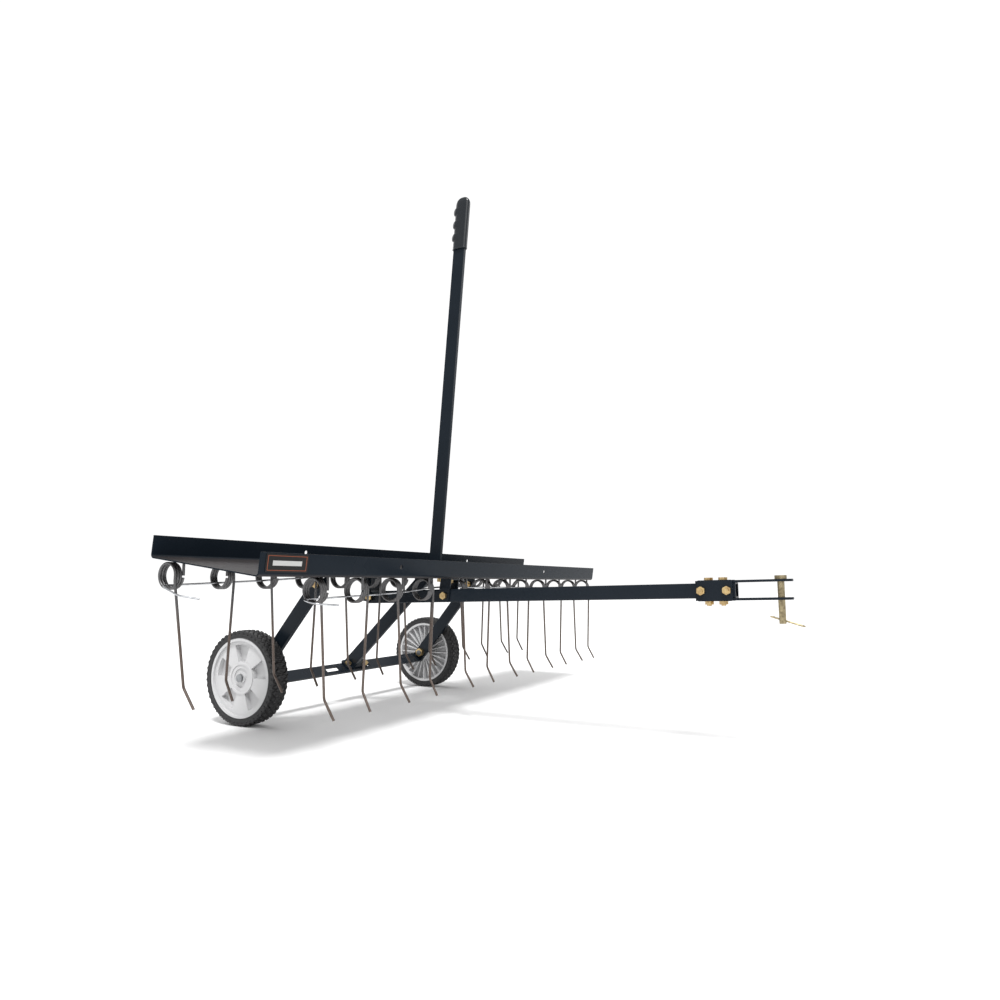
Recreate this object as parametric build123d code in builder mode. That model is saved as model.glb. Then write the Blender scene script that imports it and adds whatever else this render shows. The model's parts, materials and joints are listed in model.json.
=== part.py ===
from build123d import *
import math
import os

os.makedirs("parts", exist_ok=True)

# Frame: X across the working width, Y along the direction of travel (hitch at -Y), Z up.
# Tray, a folded sheet pan pitched up towards the rear
TRAY_LENGTH = 1219.2
TRAY_DEPTH = 224.0
FLANGE = 34.6
SHEET = 2.0
BEND = 6.0
TRAY_TILT = 7.34
TRAY_Y = 215.5
TRAY_Z = 293.5
FLANGE_HOLE_X = 290.0
FLANGE_HOLE_R = 4.0
SLOT_WIDTH = 14.0
SLOT_FROM = -36.0
SLOT_TO = 62.0

# Tines
WIRE = 4.1
COIL_R = 18.95
PITCH = 4.6
TURNS = 3
COIL_HALF = PITCH * TURNS / 2
FRONT_COIL = (130.5, 259.0)
REAR_COIL = (300.5, 281.0)
LEG = 164.0
TIP_FORWARD = 18.0
TIP_DROP = 30.5
KNEE = 8.0
LEAN_IN = 3.5
SWING_ODD = 1.0
SWING_EVEN = 0.5
SWING_END = 6.0
FRONT_X = [-471.0, -375.0, -279.0, -183.0] + [-64.0 + 94.0 * i for i in range(8)]
REAR_X = [-594.0 + 94.0 * i for i in range(8)] + [200.0 + 97.0 * i for i in range(4)]
ROD_R = 1.5

# Drawbar and hitch
BAR_X = -98.0
BAR_Z = 243.8
BAR = 25.4
BAR_WALL = 2.5
BAR_RISE = 1.59
BAR_FRONT = -652.0
BAR_REAR = 106.0
STRAP = 4.0
STRAP_TIP = -741.0
STRAP_ROOT = -586.0
PIN_Y = -722.0
PIN_R = 5.55
PIN_LENGTH = 71.7
SIDE_PLATE = (-648.0, -589.5)
CROSS_BOLTS = (-596.5, -639.0)
UPRIGHT_BOLTS = (-605.5, -629.5)
EAR = 3.0
EAR_BOLTS = (-87.0, 96.0)

# Wheel frame and lever
PIVOT = (303.5, 268.0)
AXLE = (450.5, 90.0)
FLAT_W = 28.0
FLAT_T = 8.0
ARM_X = 272.0
CROSS_TOP = 14.1
CROSS_T = 4.8
CROSS_SLOT = (42.0, 12.0)
FOOT_SHIFT = 6.0
LEVER_X = 10.0
LEVER_LINE = [(481.0, 71.2), (236.0, 308.0), (232.5, 354.0), (184.5, 993.0), (175.2, 1118.0)]
FOOT_T = 4.0
FOOT_BOLTS = ((0.0, 6.0), (54.0, 0.0))
GRIP_FROM = 1017.0
GRIP_TO = 1137.0

# Wheels
WHEEL_R = 90.0
RIM_R = 75.0
WHEEL_W = 38.0
WHEEL_X = 303.5
AXLE_R = 6.35
POCKETS = 5
POCKET_GAP = 19.0
POCKET_IN = 31.0
POCKET_OUT = 63.0

tilt = math.radians(TRAY_TILT)
rise = math.radians(BAR_RISE)
back = Vector(0, math.cos(tilt), math.sin(tilt))
up = Vector(0, -math.sin(tilt), math.cos(tilt))
tray_plane = Plane(origin=(0, TRAY_Y, TRAY_Z), x_dir=(1, 0, 0), z_dir=up)
front_face = Plane(
    origin=tray_plane.from_local_coords((0, -TRAY_DEPTH / 2, 0)), x_dir=(1, 0, 0), z_dir=-back
)
bar_up = Vector(0, math.sin(rise), math.cos(rise))
bar_back = Vector(0, math.cos(rise), -math.sin(rise))
bar_plane = Plane(origin=(BAR_X, TRAY_Y, BAR_Z), x_dir=(1, 0, 0), z_dir=bar_up)
arm_dir = Vector(0, AXLE[0] - PIVOT[0], AXLE[1] - PIVOT[1]).normalized()
arm_side = Vector(0, -arm_dir.Z, arm_dir.Y)
axle_point = Vector(0, *AXLE)
cross_plane = Plane(origin=axle_point + arm_dir * CROSS_TOP, x_dir=(1, 0, 0), z_dir=-arm_dir)


def side_plane(x):
    """Plane at x seen along X, with Y to the right and Z up."""
    return Plane(origin=(x, 0, 0), x_dir=(0, 1, 0), z_dir=(1, 0, 0))


def save(part, name):
    """Label a part and write its STEP file."""
    part.label = name
    export_step(part, f"parts/{name}.step")


def bolt(seat, direction, shank, radius, across, head):
    """Hex bolt whose head sits on the seat point, shank along the direction."""
    face = Plane(origin=seat, z_dir=direction)
    with BuildSketch(face.offset(-head)) as hexagon:
        RegularPolygon(radius=across / 2, side_count=6, major_radius=False)
    extrude(hexagon.sketch, amount=head)
    with BuildSketch(face) as circle:
        Circle(radius)
    extrude(circle.sketch, amount=shank)


def nut(seat, direction, radius, across, height):
    """Hex nut that starts on the seat point and runs along the direction."""
    with BuildSketch(Plane(origin=seat, z_dir=direction)) as ring:
        RegularPolygon(radius=across / 2, side_count=6, major_radius=False)
        Circle(radius + 0.05, mode=Mode.SUBTRACT)
    extrude(ring.sketch, amount=height)


def drill(point, direction, radius, depth):
    """Cut a round hole centred on the point, both ways along the direction."""
    with BuildSketch(Plane(origin=point, z_dir=direction)) as circle:
        Circle(radius)
    extrude(circle.sketch, amount=depth, both=True, mode=Mode.SUBTRACT)


def bar_point(x, s, w):
    """World point at x from the bar's middle, s along it and w above its centre line."""
    return bar_plane.from_local_coords((x, s, w))


def tray_point(x, v, w):
    """World point on the tray at x, v back from its middle and w above its floor's underside."""
    return tray_plane.from_local_coords((x, v, w))


# --- tray -------------------------------------------------------------------------------
anchors = []
for coil, places in ((FRONT_COIL, FRONT_X), (REAR_COIL, REAR_X)):
    for i, x in enumerate(places):
        end = COIL_HALF if i % 2 == 0 else -COIL_HALF
        anchors.append((x + end, coil[0] - COIL_R, coil[1]))

bracket_bolts = [(BAR_X, -92.0), (BAR_X, 98.0)]
guide_bolts = [(-55.0, -38.0), (-8.0, -38.0)]

with BuildPart() as tray:
    end_plane = Plane(
        origin=(-TRAY_LENGTH / 2, TRAY_Y, TRAY_Z), x_dir=back, z_dir=(1, 0, 0)
    )
    with BuildSketch(end_plane):
        with BuildLine():
            half = TRAY_DEPTH / 2
            FilletPolyline(
                (-half, FLANGE), (-half, 0), (half, 0), (half, FLANGE), radius=BEND
            )
            offset(amount=SHEET, side=Side.LEFT)
        make_face()
    extrude(amount=TRAY_LENGTH)
    with BuildSketch(front_face):
        with Locations((-FLANGE_HOLE_X, 20), (FLANGE_HOLE_X, 20)):
            Circle(FLANGE_HOLE_R)
    extrude(amount=-TRAY_DEPTH, mode=Mode.SUBTRACT)
    with BuildSketch(tray_plane):
        with Locations((14, (SLOT_FROM + SLOT_TO) / 2)):
            Rectangle(SLOT_WIDTH, SLOT_TO - SLOT_FROM)
        with Locations(*bracket_bolts, *guide_bolts):
            Circle(4.2)
    extrude(amount=SHEET, mode=Mode.SUBTRACT)
    with BuildSketch(Plane.XY.offset(250)):
        with Locations(*[(x, y) for x, y, z in anchors]):
            Circle(WIRE / 2 + 0.5)
    extrude(amount=80, mode=Mode.SUBTRACT)
save(tray.part, "tray")

with BuildPart() as badge_plate:
    with BuildSketch(front_face):
        with Locations((-559.5, 20)):
            RectangleRounded(81, 26, 2)
    extrude(amount=0.8)
save(badge_plate.part, "badge_plate")

with BuildPart() as tine_anchors:
    for x, y, z in anchors:
        with BuildSketch(Plane.XY.offset(z + 0.5)):
            with Locations((x, y)):
                Circle(WIRE / 2)
        extrude(amount=23)
save(tine_anchors.part, "tine_anchors")

# --- tines ------------------------------------------------------------------------------
lean = math.atan(PITCH / (2 * math.pi * COIL_R))


def tine(sign, swing):
    """Wire tine: forward of the coil is x, the leg runs down at y of the given sign."""
    off_coil = Vector(0, sign * math.cos(lean), -math.sin(lean))
    down = Vector(
        math.tan(math.radians(swing)), sign, math.tan(math.radians(LEAN_IN))
    ).normalized()
    start = Vector(COIL_R, 0, 0)
    knee = start + off_coil * KNEE
    bend = knee + down * (LEG - KNEE)
    tip = bend + Vector(TIP_FORWARD, 0, 0) + down * TIP_DROP
    with BuildPart() as wire:
        with BuildLine():
            FilletPolyline(tip, bend, knee, start, radius=14)
            Helix(
                pitch=PITCH, height=PITCH * TURNS - 0.1, radius=COIL_R, lefthand=sign > 0
            )
        with BuildSketch(Plane(origin=tip, z_dir=bend - tip)):
            Circle(WIRE / 2)
        sweep()
    return wire.part


tine_odd = tine(1, SWING_ODD)
tine_even = tine(-1, SWING_EVEN)
tine_end = tine(1, SWING_END)
for row, coil, places in (("front", FRONT_COIL, FRONT_X), ("rear", REAR_COIL, REAR_X)):
    for i, x in enumerate(places):
        across = 1 if i % 2 == 0 else -1
        seat = Plane(
            origin=(x - across * COIL_HALF, *coil), x_dir=(0, -1, 0), z_dir=(across, 0, 0)
        )
        shape = tine_odd if across == 1 else tine_even
        if row == "rear" and i == 0:
            shape = tine_end
        save(shape.moved(seat.location), f"tine_{row}_{i + 1:02d}")

# --- tine rods --------------------------------------------------------------------------
FRONT_ROD = [(606, 139.5, 258), (-98, 143.5, 263), (-183, 141.5, 258), (-484, 133.5, 246)]
REAR_ROD = [(515, 294.5, 288), (-98, 294.5, 288), (-390, 297.5, 276), (-601, 299.5, 267)]
for name, line, loop, tail in (
    ("tine_rod_front", FRONT_ROD, (-493, 118, 242), [(-482, 103, 239), (-455, 97, 237)]),
    ("tine_rod_rear", REAR_ROD, (-607.2, 284, 259), [(-602, 262, 251), (-590, 242, 247)]),
):
    with BuildPart() as rod:
        turn = (Vector(*line[3]) - Vector(*line[2])).normalized()
        along = Vector(*line[1]) - Vector(*line[0])
        with BuildLine() as path:
            Line(line[0], line[1])
            Spline(*line[1:], tangents=[along, turn])
            Spline(line[3], loop, tail[0], tangents=[turn, Vector(*tail[1]) - Vector(*tail[0])])
            Line(*tail)
        with BuildSketch(Plane(origin=line[0], z_dir=along)):
            Circle(ROD_R)
        sweep(path=path.line)
    save(rod.part, name)

# --- drawbar ----------------------------------------------------------------------------
with BuildPart() as drawbar_tube:
    with BuildSketch(Plane(origin=bar_point(0, BAR_FRONT, 0), x_dir=(1, 0, 0), z_dir=bar_back)):
        RectangleRounded(BAR, BAR, 2.5)
        RectangleRounded(BAR - 2 * BAR_WALL, BAR - 2 * BAR_WALL, 1, mode=Mode.SUBTRACT)
    extrude(amount=BAR_REAR - BAR_FRONT)
    for s in (*CROSS_BOLTS, *EAR_BOLTS):
        drill(bar_point(0, s, 0), (1, 0, 0), 4.2, BAR)
    for s in UPRIGHT_BOLTS:
        drill(bar_point(0, s, 0), bar_up, 4.2, BAR)
save(drawbar_tube.part, "drawbar_tube")

for name, rear, front, drop, s, hole in (
    ("drawbar_bracket_front", -80.0, -104.0, 47.0, -87.0, -92.0),
    ("drawbar_bracket_rear", 112.0, 89.5, 74.0, 96.0, 98.0),
):
    with BuildPart() as bracket:
        v_mid = (rear + front) / 2
        with BuildSketch(Plane(origin=tray_point(BAR_X, front, 0), x_dir=(1, 0, 0), z_dir=back)):
            wide = BAR / 2 + 0.1 + EAR
            with Locations((0, drop / 2)):
                Rectangle(2 * wide, drop)
            with Locations((0, (drop + EAR) / 2)):
                Rectangle(BAR + 0.2, drop - EAR, mode=Mode.SUBTRACT)
        extrude(amount=rear - front)
        drill(bar_point(0, s, 0), (1, 0, 0), 4.2, BAR)
        drill(tray_point(BAR_X, hole, 0), up, 4.2, 6)
    save(bracket.part, name)

with BuildPart() as drawbar_bolts:
    for s in EAR_BOLTS:
        bolt(bar_point(-BAR / 2 - 0.1 - EAR, s, 0), (1, 0, 0), 38, 4, 13, 5.2)
    for x, v in bracket_bolts:
        bolt(tray_point(x, v, SHEET), -up, 14, 4, 13, 5.2)
save(drawbar_bolts.part, "drawbar_bolts")

with BuildPart() as drawbar_nuts:
    for s in EAR_BOLTS:
        nut(bar_point(BAR / 2 + 0.1 + EAR, s, 0), (1, 0, 0), 4, 13, 5.6)
    for x, v in bracket_bolts:
        nut(tray_point(x, v, -EAR), -up, 4, 13, 6.5)
save(drawbar_nuts.part, "drawbar_nuts")

# --- hitch ------------------------------------------------------------------------------
for name, w in (("hitch_strap_upper", BAR / 2), ("hitch_strap_lower", -BAR / 2 - STRAP)):
    with BuildPart() as strap:
        with BuildSketch(Plane(origin=bar_point(0, 0, w), x_dir=(1, 0, 0), z_dir=bar_up)) as flat:
            with Locations((0, (STRAP_TIP + STRAP_ROOT) / 2)):
                Rectangle(BAR, STRAP_ROOT - STRAP_TIP)
            fillet(flat.vertices().group_by(Axis.Y)[0], radius=9)
            with Locations((0, PIN_Y)):
                Circle(PIN_R + 0.05, mode=Mode.SUBTRACT)
            with Locations(*[(0, s) for s in UPRIGHT_BOLTS]):
                Circle(4.2, mode=Mode.SUBTRACT)
        extrude(amount=STRAP)
    save(strap.part, name)

with BuildPart() as hitch_side_plates:
    for x in (-BAR / 2 - STRAP, BAR / 2):
        with BuildSketch(
            Plane(origin=bar_point(x, 0, 0), x_dir=bar_back, z_dir=(1, 0, 0))
        ) as flat:
            with Locations((sum(SIDE_PLATE) / 2, 0)):
                Rectangle(SIDE_PLATE[1] - SIDE_PLATE[0], 35)
            fillet(flat.vertices(), radius=3)
            with Locations(*[(s, 0) for s in CROSS_BOLTS]):
                Circle(4.2, mode=Mode.SUBTRACT)
        extrude(amount=STRAP)
save(hitch_side_plates.part, "hitch_side_plates")

with BuildPart() as hitch_bolts:
    for s in CROSS_BOLTS:
        bolt(bar_point(BAR / 2 + STRAP, s, 0), (-1, 0, 0), 43, 4, 13, 5.2)
    for s in UPRIGHT_BOLTS:
        bolt(bar_point(0, s, BAR / 2 + STRAP), -bar_up, 42, 4, 13, 5.2)
save(hitch_bolts.part, "hitch_bolts")

with BuildPart() as hitch_nuts:
    for s in CROSS_BOLTS:
        nut(bar_point(-BAR / 2 - STRAP, s, 0), (-1, 0, 0), 4, 13, 6.5)
    for s in UPRIGHT_BOLTS:
        nut(bar_point(0, s, -BAR / 2 - STRAP), -bar_up, 4, 13, 6.5)
save(hitch_nuts.part, "hitch_nuts")

clip_dir = Vector(0, -math.cos(math.radians(16)), -math.sin(math.radians(16)))
clip_up = Vector(0, -math.sin(math.radians(16)), math.cos(math.radians(16)))
clip_hole = bar_point(0, PIN_Y, -49.3)
with BuildPart() as hitch_pin:
    with BuildSketch(Plane(origin=bar_point(0, PIN_Y, BAR / 2 + STRAP), z_dir=-bar_up)):
        Circle(PIN_R)
    extrude(amount=PIN_LENGTH)
    with BuildSketch(Plane(origin=bar_point(0, PIN_Y, BAR / 2 + STRAP), z_dir=bar_up)):
        Circle(9.5)
    extrude(amount=6)
    drill(clip_hole, clip_dir, 1.7, 12)
save(hitch_pin.part, "hitch_pin")

clip_plane = Plane(origin=clip_hole, x_dir=clip_dir, z_dir=clip_up)
with BuildPart() as hair_pin:
    clip_tip = 34.2
    with BuildLine(clip_plane):
        FilletPolyline(
            (-20, 0), (clip_tip, 0), (clip_tip, 10), (8, 7.2), (0, 8.4), (-8, 7.2), (-18, 10),
            radius=4.5,
        )
    with BuildSketch(Plane(origin=clip_plane.from_local_coords((-20, 0, 0)), z_dir=clip_dir)):
        Circle(1.25)
    sweep()
save(hair_pin.part, "hair_pin")

# --- pivot brackets ---------------------------------------------------------------------
pivot_v = (PIVOT[0] - TRAY_Y) / math.cos(tilt)
for side, name, rod_hole in (
    (-1, "pivot_bracket_left", (296.4, 282.2)), (1, "pivot_bracket_right", (294.5, 288.0)),
):
    with BuildPart() as bracket:
        inner = ARM_X - 0.5
        with BuildSketch(side_plane(min(side * inner, side * (inner - 4)))):
            with BuildLine():
                top_a = tray_point(0, pivot_v - 18, 0)
                top_b = tray_point(0, pivot_v + 18, 0)
                Polyline(
                    (top_a.Y, top_a.Z), (PIVOT[0] - 15, PIVOT[1]), (PIVOT[0] + 15, PIVOT[1]),
                    (top_b.Y, top_b.Z), close=True,
                )
            make_face()
            with Locations(PIVOT):
                Circle(15)
                Circle(4.2, mode=Mode.SUBTRACT)
            with Locations(rod_hole):
                Circle(3.2, mode=Mode.SUBTRACT)
        extrude(amount=4)
        with BuildSketch(tray_plane):
            with Locations((side * (inner - 18), pivot_v)):
                Rectangle(36, 36)
        extrude(amount=-4)
        with BuildSketch(tray_plane):
            with Locations((side * (inner - 26), pivot_v)):
                Circle(3.2)
        extrude(amount=-4, mode=Mode.SUBTRACT)
    save(bracket.part, name)

with BuildPart() as pivot_bolts:
    for side in (-1, 1):
        bolt((side * (ARM_X + FLAT_T + 0.4), *PIVOT), (-side, 0, 0), 23, 4, 13, 4.4)
save(pivot_bolts.part, "pivot_bolts")

with BuildPart() as pivot_nuts:
    for side in (-1, 1):
        nut((side * (ARM_X - 4.5), *PIVOT), (-side, 0, 0), 4, 13, 6.5)
save(pivot_nuts.part, "pivot_nuts")

# --- lever guide ------------------------------------------------------------------------
with BuildPart() as lever_guide:
    with BuildSketch(tray_plane):
        with Locations((-15, 4)):
            Rectangle(112, 112)
        with Locations((14, 13)):
            Rectangle(SLOT_WIDTH, 98, mode=Mode.SUBTRACT)
        with Locations(*guide_bolts):
            Circle(4.2, mode=Mode.SUBTRACT)
    extrude(amount=-EAR)
save(lever_guide.part, "lever_guide")

with BuildPart() as guide_bolts_part:
    for x, v in guide_bolts:
        bolt(tray_point(x, v, SHEET), -up, 17, 4, 13, 5.2)
save(guide_bolts_part.part, "guide_bolts")

# --- wheel frame ------------------------------------------------------------------------
arm_end = axle_point + arm_dir * CROSS_TOP
for side, name in ((-1, "wheel_arm_left"), (1, "wheel_arm_right")):
    with BuildPart() as arm:
        with BuildSketch(side_plane(min(side * ARM_X, side * (ARM_X + FLAT_T)))):
            with BuildLine():
                top = Vector(0, *PIVOT)
                ring = [
                    top + arm_side * FLAT_W / 2, arm_end + arm_side * FLAT_W / 2,
                    arm_end - arm_side * FLAT_W / 2, top - arm_side * FLAT_W / 2,
                ]
                Polyline(*[(p.Y, p.Z) for p in ring], close=True)
            make_face()
            with Locations(PIVOT):
                Circle(FLAT_W / 2)
                Circle(4.05, mode=Mode.SUBTRACT)
            with Locations(AXLE):
                Circle(AXLE_R + 0.1, mode=Mode.SUBTRACT)
        extrude(amount=FLAT_T)
    save(arm.part, name)

with BuildPart() as wheel_cross_bar:
    with BuildSketch(cross_plane):
        Rectangle(2 * (ARM_X + FLAT_T), FLAT_W)
        with Locations((-52, 0), (52, 0)):
            RectangleRounded(*CROSS_SLOT, 2, mode=Mode.SUBTRACT)
        with Locations(FOOT_BOLTS[0]):
            Circle(4.2, mode=Mode.SUBTRACT)
    extrude(amount=-CROSS_T)
save(wheel_cross_bar.part, "wheel_cross_bar")

with BuildPart() as lever_bar:
    with BuildSketch(side_plane(LEVER_X)):
        for a, b in zip(LEVER_LINE, LEVER_LINE[1:]):
            away = Vector(b[0] - a[0], b[1] - a[1], 0).normalized()
            edge = Vector(-away.Y, away.X, 0) * FLAT_W / 2
            with BuildLine():
                ring = [(a[0] - edge.X, a[1] - edge.Y), (b[0] - edge.X, b[1] - edge.Y),
                        (b[0] + edge.X, b[1] + edge.Y), (a[0] + edge.X, a[1] + edge.Y)]
                Polyline(*ring, close=True)
            make_face()
        with Locations(*LEVER_LINE[1:-1]):
            Circle(FLAT_W / 2)
    extrude(amount=FLAT_T)
    split(bisect_by=cross_plane, keep=Keep.TOP)
    with BuildSketch(cross_plane):
        with Locations((26, FOOT_SHIFT)):
            RectangleRounded(72, 26, 4)
        with Locations(*FOOT_BOLTS):
            Circle(4.2, mode=Mode.SUBTRACT)
    extrude(amount=FOOT_T)
save(lever_bar.part, "lever_bar")

with BuildPart() as lever_bolts:
    for spot in FOOT_BOLTS:
        seat = cross_plane.from_local_coords((*spot, FOOT_T))
        bolt(seat, arm_dir, 19, 4, 13, 5.2)
save(lever_bolts.part, "lever_bolts")

with BuildPart() as lever_nuts:
    for spot in FOOT_BOLTS:
        nut(cross_plane.from_local_coords((*spot, -CROSS_T)), arm_dir, 4, 13, 6.5)
save(lever_nuts.part, "lever_nuts")

# --- grip -------------------------------------------------------------------------------
with BuildPart() as handle_grip:
    with BuildSketch(side_plane(LEVER_X - 4)) as outline:
        low, high = LEVER_LINE[3], LEVER_LINE[4]
        slope = (high[0] - low[0]) / (high[1] - low[1])
        with BuildLine():
            y_low = low[0] + slope * (GRIP_FROM - low[1])
            y_high = low[0] + slope * (GRIP_TO - low[1])
            Polyline(
                (y_low - 18, GRIP_FROM), (y_low + 18, GRIP_FROM),
                (y_high + 18, GRIP_TO), (y_high - 18, GRIP_TO), close=True,
            )
        make_face()
        fillet(outline.vertices().group_by(Axis.Y)[-1], radius=15)
        fillet(outline.vertices().group_by(Axis.Y)[0], radius=3)
        for z in (1104.0, 1074.5, 1045.0):
            with Locations((low[0] + slope * (z - low[1]) + 10, z)):
                Circle(12)
    extrude(amount=FLAT_T + 8)
    fillet(handle_grip.faces().filter_by(Axis.X).edges(), radius=3)
    add(lever_bar.part, mode=Mode.SUBTRACT)
save(handle_grip.part, "handle_grip")

# --- axles and wheels -------------------------------------------------------------------
with BuildPart() as axle_bolts:
    for side in (-1, 1):
        face = Plane(origin=(side * 318.4, *AXLE), z_dir=(-side, 0, 0))
        with BuildSketch(face):
            Circle(7.5)
        extrude(amount=-4)
        with BuildSketch(face):
            Circle(AXLE_R)
        extrude(amount=56)
save(axle_bolts.part, "axle_bolts")

with BuildPart() as axle_nuts:
    for side in (-1, 1):
        nut((side * ARM_X, *AXLE), (-side, 0, 0), AXLE_R, 19, 8)
save(axle_nuts.part, "axle_nuts")

with BuildPart() as rim:
    with BuildSketch(Plane.XY.offset(-18)):
        Circle(RIM_R)
        Circle(RIM_R - 5, mode=Mode.SUBTRACT)
    extrude(amount=36)
    with BuildSketch(Plane.XY.offset(-2)):
        Circle(RIM_R - 2)
    extrude(amount=15)
    for turn in range(POCKETS):
        start = 90 + 360 * turn / POCKETS + POCKET_GAP
        spread = 360 / POCKETS - 2 * POCKET_GAP
        with BuildSketch(Plane.XY.offset(3)):
            with BuildLine():
                inner_arc = CenterArc((0, 0), POCKET_IN, start, spread)
                outer_arc = CenterArc((0, 0), POCKET_OUT, start, spread)
                Line(inner_arc @ 0, outer_arc @ 0)
                Line(inner_arc @ 1, outer_arc @ 1)
            make_face()
        extrude(amount=12, mode=Mode.SUBTRACT)
    with BuildSketch(Plane.XY.offset(13)):
        Circle(30.5)
        Circle(25, mode=Mode.SUBTRACT)
    extrude(amount=1.5)
    with BuildSketch(Plane.XY.offset(-22.7)):
        Circle(13)
    extrude(amount=37.2)
    with BuildSketch(Plane.XY.offset(-16)):
        Circle(20)
    extrude(amount=18)
    with BuildSketch(Plane.XY.offset(11)):
        Circle(18)
        Circle(10.5, mode=Mode.SUBTRACT)
    extrude(amount=4, mode=Mode.SUBTRACT)
    with BuildSketch(Plane.XY):
        with PolarLocations(46, 24):
            Rectangle(54, 2)
    extrude(amount=-16)
    with BuildSketch(Plane.XY.offset(-30)):
        Circle(AXLE_R + 0.08)
    extrude(amount=60, mode=Mode.SUBTRACT)

with BuildPart() as tyre:
    with BuildSketch(Plane.XZ) as section:
        with Locations(((RIM_R + 0.05 + WHEEL_R) / 2, 0)):
            Rectangle(WHEEL_R - RIM_R - 0.05, WHEEL_W)
        fillet(section.vertices().group_by(Axis.X)[-1], radius=6)
    revolve(axis=Axis.Z)

for side, label in ((-1, "left"), (1, "right")):
    seat = Plane(origin=(side * WHEEL_X, *AXLE), x_dir=(0, 1, 0), z_dir=(side, 0, 0))
    save(rim.part.moved(seat.location), f"wheel_rim_{label}")
    save(tyre.part.moved(seat.location), f"tyre_{label}")
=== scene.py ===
import json
import math

import bmesh
import bpy
from mathutils import Matrix, Vector


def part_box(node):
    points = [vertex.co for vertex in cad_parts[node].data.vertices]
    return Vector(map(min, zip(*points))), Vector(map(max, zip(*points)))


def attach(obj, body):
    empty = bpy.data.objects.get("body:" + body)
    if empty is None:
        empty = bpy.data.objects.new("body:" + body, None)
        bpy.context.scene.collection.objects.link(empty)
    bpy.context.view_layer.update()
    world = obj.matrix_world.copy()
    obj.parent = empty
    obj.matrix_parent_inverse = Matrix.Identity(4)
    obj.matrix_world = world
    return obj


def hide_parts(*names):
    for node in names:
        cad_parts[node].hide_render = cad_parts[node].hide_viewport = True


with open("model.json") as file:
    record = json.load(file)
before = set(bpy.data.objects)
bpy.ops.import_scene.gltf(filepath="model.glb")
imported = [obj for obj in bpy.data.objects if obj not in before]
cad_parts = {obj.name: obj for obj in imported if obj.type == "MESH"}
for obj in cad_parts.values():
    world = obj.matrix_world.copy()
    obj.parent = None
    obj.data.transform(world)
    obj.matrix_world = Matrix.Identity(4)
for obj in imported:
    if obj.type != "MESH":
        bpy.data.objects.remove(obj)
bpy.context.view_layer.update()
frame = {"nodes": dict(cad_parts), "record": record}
nodes = frame["nodes"]


# --- materials --------------------------------------------------------------------------
class Mat:
    """A procedural material being built: node shortcuts that read like the node tree."""

    def __init__(self, name, rough=0.5, metal=0.0, colour=(0.5, 0.5, 0.5), **sockets):
        self.m = bpy.data.materials.new(name)
        self.m.use_nodes = True
        self.t = self.m.node_tree
        self.b = self.t.nodes["Principled BSDF"]
        self.b.inputs["Roughness"].default_value = rough
        self.b.inputs["Metallic"].default_value = metal
        self.b.inputs["Base Color"].default_value = (*colour, 1)
        for key, value in sockets.items():
            self.b.inputs[key.replace("_", " ")].default_value = value
        self.m.diffuse_color = (*colour, 1)

    def node(self, kind, **inputs):
        n = self.t.nodes.new(kind)
        for key, value in inputs.items():
            self.put(n.inputs[key.replace("_", " ")], value)
        return n

    def put(self, socket, value):
        if isinstance(value, bpy.types.NodeSocket):
            self.t.links.new(value, socket)
        else:
            socket.default_value = value

    def coords(self, scale=(1, 1, 1)):
        n = self.node("ShaderNodeTexCoord")
        m = self.node("ShaderNodeMapping", Vector=n.outputs["Object"], Scale=scale)
        return m.outputs["Vector"]

    def noise(self, scale, detail=4.0, rough=0.6, vector=None):
        v = self.coords() if vector is None else vector
        n = self.node(
            "ShaderNodeTexNoise", Vector=v, Scale=scale, Detail=detail, Roughness=rough
        )
        return n.outputs["Fac"]

    def ramp(self, fac, *stops):
        n = self.node("ShaderNodeValToRGB", Fac=fac)
        while len(n.color_ramp.elements) < len(stops):
            n.color_ramp.elements.new(0.5)
        for e, (pos, colour) in zip(n.color_ramp.elements, stops):
            e.position = pos
            e.color = (*colour, 1) if isinstance(colour, tuple) else (colour,) * 3 + (1,)
        return n.outputs["Color"]

    def mix(self, fac, a, b, blend="MIX"):
        n = self.t.nodes.new("ShaderNodeMix")
        n.data_type = "RGBA"
        n.blend_type = blend
        self.put(n.inputs[0], fac)
        self.put(n.inputs[6], a if isinstance(a, bpy.types.NodeSocket) else (*a, 1))
        self.put(n.inputs[7], b if isinstance(b, bpy.types.NodeSocket) else (*b, 1))
        return n.outputs[2]

    def math(self, op, a, b=0.0):
        n = self.t.nodes.new("ShaderNodeMath")
        n.operation = op
        self.put(n.inputs[0], a)
        self.put(n.inputs[1], b)
        return n.outputs[0]

    def level(self, both_sides, low=0.3, high=0.95):
        """1 where the surface looks up (or down too, with both_sides), 0 on walls."""
        g = self.node("ShaderNodeNewGeometry")
        s = self.node("ShaderNodeSeparateXYZ", Vector=g.outputs["Normal"])
        n = self.t.nodes.new("ShaderNodeMapRange")
        z = s.outputs["Z"]
        self.put(n.inputs["Value"], self.math("ABSOLUTE", z) if both_sides else z)
        n.inputs["From Min"].default_value = low
        n.inputs["From Max"].default_value = high
        return n.outputs[0]

    def bump(self, height, strength, distance):
        n = self.node("ShaderNodeBump", Height=height, Strength=strength, Distance=distance)
        previous = self.b.inputs["Normal"].links
        if previous:
            self.put(n.inputs["Normal"], previous[0].from_socket)
        self.put(self.b.inputs["Normal"], n.outputs["Normal"])

    def set(self, **sockets):
        for key, value in sockets.items():
            self.put(self.b.inputs[key.replace("_", " ")], value)
        return self


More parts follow.
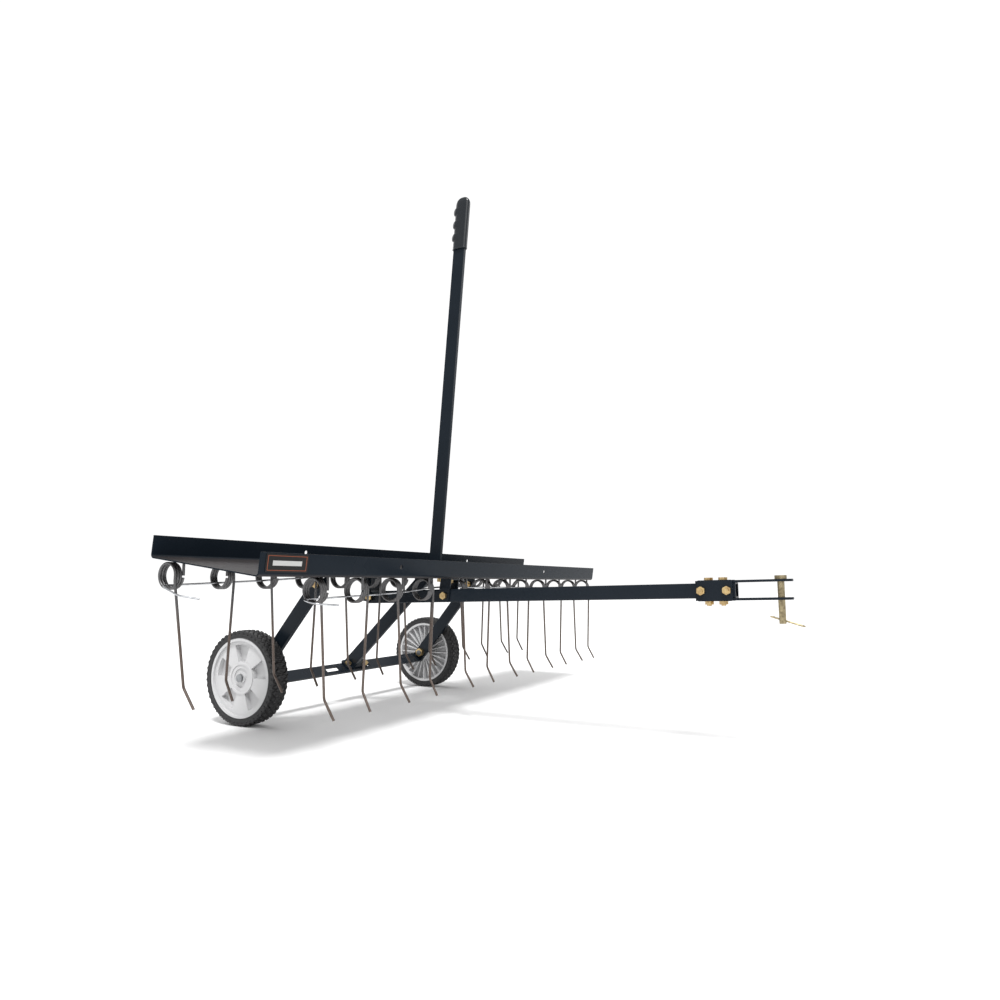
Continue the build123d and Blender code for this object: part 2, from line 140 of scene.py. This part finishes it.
def powder_coat(name, dust, dusty_colour, gloss=0.16, both_sides=False):
    """Navy-black gloss powder coat: orange peel, faint mottling, dust where it can lie."""
    m = Mat(name, rough=0.3, colour=(0.01, 0.012, 0.017), Specular_IOR_Level=gloss)
    broad = m.noise(9, 3)
    fine = m.noise(420, 5)
    base = m.mix(broad, (0.006, 0.010, 0.015), (0.011, 0.016, 0.023))
    specks = m.ramp(m.noise(900, 6, 0.7), (0.52, 0.0), (0.72, 1.0))
    patches = m.ramp(m.noise(26, 6, 0.65), (0.38, 0.6), (0.7, 1.0))
    lying = m.math("MULTIPLY", m.level(both_sides), m.math("MULTIPLY", patches, dust))
    lying = m.math("MULTIPLY", lying, m.math("ADD", m.math("MULTIPLY", specks, 0.5), 0.62))
    m.set(Base_Color=m.mix(lying, base, dusty_colour))
    m.set(Roughness=m.math("ADD", m.math("MULTIPLY", broad, 0.12),
                           m.math("ADD", m.math("MULTIPLY", lying, 0.5), 0.2)))
    m.bump(fine, 0.12, 0.0004)
    m.bump(m.noise(60, 2), 0.08, 0.0008)
    return m.m


def spring_steel(name):
    """Oil-tempered wire: dark brown-grey with heat tint and small scuffs."""
    m = Mat(name, rough=0.42, metal=0.75, colour=(0.1, 0.085, 0.08))
    broad = m.noise(45, 4)
    scuff = m.ramp(m.noise(380, 6, 0.7), (0.5, 0.0), (0.75, 1.0))
    height = m.node("ShaderNodeSeparateXYZ", Vector=m.coords()).outputs["Z"]
    leg = m.node("ShaderNodeMapRange", Value=height, From_Min=0.25, From_Max=0.2)
    coil = m.mix(broad, (0.075, 0.073, 0.074), (0.15, 0.15, 0.155))
    wire = m.mix(broad, (0.085, 0.062, 0.05), (0.15, 0.12, 0.105))
    base = m.mix(leg.outputs[0], coil, wire)
    m.set(Base_Color=m.mix(m.math("MULTIPLY", scuff, 0.35), base, (0.32, 0.3, 0.29)))
    m.set(Roughness=m.math("ADD", m.math("MULTIPLY", broad, 0.2), 0.3))
    m.bump(scuff, 0.2, 0.0002)
    return m.m


def zinc(name, light, dark, rough):
    """Plated steel: bright crystalline mottle with a fine brushed line."""
    m = Mat(name, rough=rough, metal=1.0, colour=light)
    tone = m.noise(160, 4)
    lines = m.noise(300, 2, 0.5, m.coords((1, 8, 8)))
    m.set(Base_Color=m.mix(m.ramp(tone, (0.35, 0.0), (0.65, 1.0)), light, dark))
    m.set(Roughness=m.math("ADD", m.math("MULTIPLY", lines, 0.18), rough - 0.08))
    m.bump(lines, 0.06, 0.0002)
    return m.m


def rubber(name):
    """Tyre rubber: near-black, fine grain, thinly dusted."""
    m = Mat(name, rough=0.68, colour=(0.05, 0.052, 0.056))
    tone = m.noise(30, 5)
    grain = m.noise(700, 4)
    base = m.mix(tone, (0.007, 0.007, 0.008), (0.018, 0.018, 0.019))
    dusty = m.ramp(m.noise(140, 6, 0.7), (0.5, 0.0), (0.8, 1.0))
    m.set(Base_Color=m.mix(m.math("MULTIPLY", dusty, 0.2), base, (0.07, 0.068, 0.066)))
    m.set(Roughness=m.math("ADD", m.math("MULTIPLY", tone, 0.2), 0.42))
    m.bump(grain, 0.25, 0.0003)
    return m.m


def moulded(name, light, shade, rough, grain_scale, grain_strength):
    """Moulded plastic: flow mottle, fine texture and a little grime."""
    m = Mat(name, rough=rough, colour=light, Specular_IOR_Level=0.45)
    tone = m.noise(14, 4)
    grime = m.ramp(m.noise(90, 6, 0.7), (0.55, 0.0), (0.85, 1.0))
    base = m.mix(tone, light, shade)
    dirty = tuple(c * 0.6 for c in shade)
    m.set(Base_Color=m.mix(m.math("MULTIPLY", grime, 0.25), base, dirty))
    m.set(Roughness=m.math("ADD", m.math("MULTIPLY", tone, 0.15), rough - 0.07))
    m.bump(m.noise(grain_scale, 4), grain_strength, 0.0003)
    return m.m


paint = powder_coat("frame_powder_coat", 0.1, (0.05, 0.046, 0.044))
tray_paint = powder_coat("tray_powder_coat", 0.9, (0.075, 0.062, 0.056), 0.07, True)
steel = spring_steel("tine_spring_steel")
bright = zinc("bright_zinc", (0.6, 0.61, 0.63), (0.38, 0.39, 0.41), 0.3)
yellow = zinc("yellow_zinc", (0.72, 0.55, 0.27), (0.5, 0.34, 0.17), 0.34)
pin_zinc = zinc("pin_zinc", (0.5, 0.42, 0.26), (0.22, 0.18, 0.11), 0.36)
axle_zinc = zinc("axle_zinc", (0.34, 0.35, 0.36), (0.22, 0.22, 0.23), 0.4)
tyre_rubber = rubber("tyre_rubber")
wheel_plastic = moulded(
    "wheel_plastic", (0.62, 0.62, 0.625), (0.55, 0.55, 0.555), 0.45, 260, 0.08
)
vinyl = moulded("grip_vinyl", (0.008, 0.011, 0.014), (0.013, 0.016, 0.02), 0.2, 500, 0.05)

# Half width and half height on the badge, from its middle, in metres.
BADGE_EDGE = (0.0375, 0.0105)
BADGE_FIELD = (0.0365, 0.0098)
BADGE_BAND = (0.028, 0.0035)


def badge_material():
    """Blank badge: dark field, thin rust-coloured border, plain pale band."""
    m = Mat("badge_enamel", rough=0.4, colour=(0.05, 0.04, 0.035), Specular_IOR_Level=0.15)
    lo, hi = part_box("badge_plate")
    t = m.node("ShaderNodeTexCoord")
    s = m.node("ShaderNodeSeparateXYZ", Vector=t.outputs["Object"])
    mid_x, mid_z = (lo[0] + hi[0]) / 2, (lo[2] + hi[2]) / 2
    dx = m.math("ABSOLUTE", m.math("SUBTRACT", s.outputs["X"], mid_x))
    dz = m.math("ABSOLUTE", m.math("SUBTRACT", s.outputs["Z"], mid_z))

    def inside(half):
        across = m.math("LESS_THAN", dx, half[0])
        return m.math("MULTIPLY", across, m.math("LESS_THAN", dz, half[1]))

    past_side = m.math("GREATER_THAN", dx, BADGE_EDGE[0])
    edge = m.math("MAXIMUM", past_side, m.math("GREATER_THAN", dz, BADGE_EDGE[1]))
    inner = inside(BADGE_FIELD)
    band = inside(BADGE_BAND)
    colour = m.mix(inner, (0.28, 0.07, 0.03), (0.012, 0.012, 0.012))
    colour = m.mix(edge, colour, (0.014, 0.012, 0.012))
    colour = m.mix(band, colour, (0.5, 0.5, 0.49))
    haze = m.math("MULTIPLY", m.noise(300), 0.06)
    m.set(Base_Color=m.mix(haze, colour, (0.08, 0.075, 0.07)))
    m.bump(m.noise(500), 0.05, 0.0002)
    return m.m


BY_SLOT = {
    "frame_paint": paint, "tine_steel": steel, "bright_zinc": bright, "yellow_zinc": yellow,
    "badge_aluminium": badge_material(), "wheel_plastic": wheel_plastic,
    "tyre_rubber": tyre_rubber, "grip_vinyl": vinyl,
}
BY_NODE = {
    "tray": tray_paint, "hitch_pin": pin_zinc, "hair_pin": pin_zinc,
    "axle_bolts": axle_zinc,
}
for part in frame["record"]["subparts"]:
    slots = nodes[part["node"]].data.materials
    slots.clear()
    slots.append(BY_NODE.get(part["node"], BY_SLOT[part["material_slot"]]))

# --- rounded edges on the CAD pieces ----------------------------------------------------
SOFT_EDGES = {
    0.0002: "badge_plate",
    0.0004: "lever_guide",
    0.0005: "drawbar_nuts hitch_nuts pivot_nuts lever_nuts",
    0.0006: "tray drawbar_bracket_front drawbar_bracket_rear hitch_strap_upper"
            " hitch_strap_lower hitch_side_plates pivot_bracket_left pivot_bracket_right"
            " drawbar_bolts hitch_bolts pivot_bolts guide_bolts lever_bolts axle_nuts",
    0.0007: "wheel_rim_left wheel_rim_right",
    0.0008: "axle_bolts",
    0.001: "wheel_arm_left wheel_arm_right wheel_cross_bar lever_bar hitch_pin",
}
rounded = [(name, width) for width, names in SOFT_EDGES.items() for name in names.split()]
for name, width in rounded:
    b = nodes[name].modifiers.new("soft_edges", "BEVEL")
    b.width = width
    b.segments = 3
    b.limit_method = "ANGLE"
    b.angle_limit = math.radians(35)
    b.use_clamp_overlap = True
    b.harden_normals = True


# --- meshes made here -------------------------------------------------------------------
def show(name, mesh, material):
    """Put a finished mesh in the scene."""
    mesh.materials.append(material)
    o = bpy.data.objects.new(name, mesh)
    bpy.context.scene.collection.objects.link(o)
    return o


# The tyre's shape, in metres. Positions across the tyre are parts of its half width.
TYRE_DEPTH = 0.015
TREAD_FOOT, TREAD_CROWN = 0.0105, 0.0045
TREAD_EDGE = 0.985
SQUARENESS, CROWN_CURVE = 0.55, 0.35
TREAD_STEPS = 44
# Height above the tyre's inner radius, and position across, from the bead outward.
BEAD = (
    (0.0, 0.93), (0.0006, 0.985), (0.003, 1.0), (0.0042, 0.975), (0.0056, 0.985),
    (0.009, 0.985),
)
TURNS = 960
LUGS = 48
GROOVE_SLANT, GROOVE_WIDTH, GROOVE_SLOPE, GROOVE_DEPTH = 1.5, 0.16, 2.2, 0.0026
SHOULDER_START, SHOULDER_WIDTH = 0.86, 0.13


def tyre_section(inner, half):
    """One closed cross-section: radius, position across, and 1 where it carries tread."""
    section = [(inner + up, -across * half, 0) for up, across in BEAD]
    for i in range(TREAD_STEPS + 1):
        a = math.pi * i / TREAD_STEPS
        x = -math.cos(a)
        square = math.copysign(abs(x) ** SQUARENESS, x)
        r = inner + TREAD_FOOT + TREAD_CROWN * math.sin(a) ** CROWN_CURVE
        section.append((r, square * half * TREAD_EDGE, 1))
    return section + [(inner + up, across * half, 0) for up, across in reversed(BEAD)]


def tread_depth(a, u):
    """How deep the tread is cut, 0 to 1, at angle a and position u across."""
    depth = 0.0
    phase = LUGS * a / (2 * math.pi)
    for sign in (1, -1):
        w = (phase + sign * u * GROOVE_SLANT) % 1.0
        groove = max(0.0, 1 - abs(w - 0.5) / GROOVE_WIDTH)
        depth = max(depth, min(1.0, groove * GROOVE_SLOPE))
    side = max(0.0, (abs(u) - SHOULDER_START) / SHOULDER_WIDTH)
    lug = 0.5 + 0.5 * math.tanh(5 * math.sin(2 * math.pi * phase))
    return max(depth * (1 - 0.5 * min(1, side)), min(1.0, side) * lug)


def tyre(name, node, body):
    """Moulded tyre with crossed diagonal grooves, shoulder lugs and a bead ring."""
    lo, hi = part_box(node)
    centre = (lo + hi) / 2
    half = (hi[0] - lo[0]) / 2
    section = tyre_section((hi[2] - lo[2]) / 2 - TYRE_DEPTH, half)
    count = len(section)
    verts, faces = [], []
    for j in range(TURNS):
        a = 2 * math.pi * j / TURNS
        for r, x, tread in section:
            rr = r - GROOVE_DEPTH * (tread_depth(a, x / half) if tread else 0.0)
            y, z = rr * math.sin(a), rr * math.cos(a)
            verts.append((centre[0] + x, centre[1] + y, centre[2] + z))
    for j in range(TURNS):
        k = (j + 1) % TURNS
        for i in range(count):
            n = (i + 1) % count
            faces.append((j * count + i, j * count + n, k * count + n, k * count + i))
    mesh = bpy.data.meshes.new(name)
    mesh.from_pydata(verts, [], faces)
    mesh.validate()
    for p in mesh.polygons:
        p.use_smooth = True
    o = show(name, mesh, tyre_rubber)
    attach(o, body)
    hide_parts(node)


tyre("tyre_left_tread", "tyre_left", "wheel_left")
tyre("tyre_right_tread", "tyre_right", "wheel_right")

# The grip's shape, in metres.
GRIP_LEAN = -0.0744
GRIP_BEHIND = 0.0199
GRIP_HALF_X, GRIP_HALF_Y = 0.0079, 0.0173
GRIP_CORNER, DOME_CURVE, RIDGE_CURVE = 0.72, 2.3, 0.6
DOME = 0.020
RIDGE_DROPS = (0.033, 0.0625, 0.092)
RIDGE_HALF, RIDGE_X, RIDGE_Y = 0.0085, 0.0018, 0.0045
LIP_TALL, LIP_OUT = 0.003, 0.0004
GRIP_ROWS, GRIP_AROUND = 160, 72
WELD = 1e-6


def grip():
    """Dipped vinyl grip: rounded flat section, domed top, three ridges at the rear."""
    lo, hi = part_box("handle_grip")
    mid_x = (lo[0] + hi[0]) / 2
    foot_y = hi[1] - GRIP_BEHIND
    ridges = [hi[2] - drop for drop in RIDGE_DROPS]
    verts, faces = [], []
    for j in range(GRIP_ROWS):
        z = lo[2] + (hi[2] - lo[2]) * j / (GRIP_ROWS - 1)
        rise = max(0.0, (z - (hi[2] - DOME)) / DOME)
        close_in = max(0.0, 1 - min(1.0, rise) ** DOME_CURVE) ** (1 / DOME_CURVE)
        near = max(max(0.0, 1 - ((z - at) / RIDGE_HALF) ** 2) for at in ridges)
        ridge = near ** RIDGE_CURVE
        lip = LIP_OUT if z < lo[2] + LIP_TALL else 0.0
        for i in range(GRIP_AROUND):
            a = 2 * math.pi * i / GRIP_AROUND
            c, n = math.cos(a), math.sin(a)
            x = math.copysign(abs(c) ** GRIP_CORNER, c)
            y = math.copysign(abs(n) ** GRIP_CORNER, n)
            rear = max(0.0, y)
            half_x = GRIP_HALF_X + lip + RIDGE_X * ridge * min(1.0, rear * 1.6)
            half_y = GRIP_HALF_Y + lip + RIDGE_Y * ridge * rear
            verts.append((mid_x + half_x * close_in * x,
                          foot_y + GRIP_LEAN * (z - lo[2]) + half_y * close_in * y, z))
    for j in range(GRIP_ROWS - 1):
        for i in range(GRIP_AROUND):
            k = (i + 1) % GRIP_AROUND
            low, high = j * GRIP_AROUND, (j + 1) * GRIP_AROUND
            faces.append((low + i, low + k, high + k, high + i))
    faces.append(tuple(reversed(range(GRIP_AROUND))))
    mesh = bpy.data.meshes.new("grip_sleeve")
    mesh.from_pydata(verts, [], faces)
    mesh.validate()
    merged = bmesh.new()
    merged.from_mesh(mesh)
    bmesh.ops.remove_doubles(merged, verts=merged.verts, dist=WELD)
    merged.to_mesh(mesh)
    merged.free()
    for p in mesh.polygons:
        p.use_smooth = len(p.vertices) <= 4
    o = show("grip_sleeve", mesh, vinyl)
    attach(o, "lift_frame")
    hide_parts("handle_grip")


grip()

# --- floor, light and camera ------------------------------------------------------------
WHITE = (1, 1, 1, 1)
AMBIENT, BACKDROP = 0.6, 1.05
SUN_POWER, SUN_SPREAD, SUN_TOWARD = 2.6, 14, (1.5, 1.1, -3.4)
SOFTBOXES = (
    # name, place, target, size, power
    ("left", (-2.4, -1.2, 2.6), (0, 0, 0.2), (2.0, 1.6), 18),
    ("fill", (2.6, -2.6, 2.2), (0, 0, 0.3), (2.5, 2.0), 25),
    ("back", (0.5, 3.2, 2.6), (0, 0, 0.3), (3.5, 1.6), 30),
)

floor_mat = Mat(
    "studio_floor", rough=0.8, colour=(0.95, 0.95, 0.95), Specular_IOR_Level=0.1
)
floor_tone = floor_mat.noise(3)
floor_mat.set(Base_Color=floor_mat.mix(floor_tone, (0.94, 0.94, 0.94), (0.96, 0.96, 0.96)))
bpy.ops.mesh.primitive_plane_add(size=40, location=(0, 0, 0))
floor = bpy.context.object
floor.name = "studio_floor"
floor.data.materials.append(floor_mat.m)

world = bpy.data.worlds.new("studio")
bpy.context.scene.world = world
bpy.context.scene.view_settings.view_transform = "Standard"
world.use_nodes = True
sky = world.node_tree
lit = sky.nodes["Background"]
backdrop = sky.nodes.new("ShaderNodeBackground")
for background, strength in ((lit, AMBIENT), (backdrop, BACKDROP)):
    background.inputs["Color"].default_value = WHITE
    background.inputs["Strength"].default_value = strength
seen = sky.nodes.new("ShaderNodeMixShader")
sky.links.new(sky.nodes.new("ShaderNodeLightPath").outputs["Is Camera Ray"], seen.inputs[0])
sky.links.new(lit.outputs[0], seen.inputs[1])
sky.links.new(backdrop.outputs[0], seen.inputs[2])
sky.links.new(seen.outputs[0], sky.nodes["World Output"].inputs["Surface"])


def add_light(name, light, aim, place=(0, 0, 0)):
    """Put a light in the scene, shining along aim."""
    o = bpy.data.objects.new(name, light)
    o.location = place
    o.rotation_euler = aim.to_track_quat("-Z", "Y").to_euler()
    bpy.context.scene.collection.objects.link(o)


def softbox(name, place, target, size, power):
    light = bpy.data.lights.new(name, "AREA")
    light.shape = "RECTANGLE"
    light.size, light.size_y = size
    light.energy = power
    add_light(name, light, Vector(target) - Vector(place), place)


sun = bpy.data.lights.new("key", "SUN")
sun.energy = SUN_POWER
sun.angle = math.radians(SUN_SPREAD)
add_light("key", sun, Vector(SUN_TOWARD))
for settings in SOFTBOXES:
    softbox(*settings)

YAW, PITCH, ROLL = math.radians(63.58), math.radians(4.86), math.radians(0.23)
EYE = (-1.3488, -0.6798, 0.2742)
SENSOR, LENS = 36, 26.63
SHIFT_X, SHIFT_Y = -0.0326, 0.019
flat = math.cos(PITCH)
ahead = Vector((math.sin(YAW) * flat, math.cos(YAW) * flat, math.sin(PITCH)))
flat_right = Vector((math.cos(YAW), -math.sin(YAW), 0))
flat_up = flat_right.cross(ahead)
right = flat_right * math.cos(ROLL) + flat_up * math.sin(ROLL)
top = flat_up * math.cos(ROLL) - flat_right * math.sin(ROLL)
cam_data = bpy.data.cameras.new("camera")
cam_data.sensor_width = SENSOR
cam_data.lens = LENS
cam_data.shift_x = SHIFT_X
cam_data.shift_y = SHIFT_Y
cam = bpy.data.objects.new("camera", cam_data)
turn = Matrix((right, top, -ahead)).transposed()
cam.matrix_world = Matrix.Translation(EYE) @ turn.to_4x4()
bpy.context.scene.collection.objects.link(cam)
bpy.context.scene.camera = cam
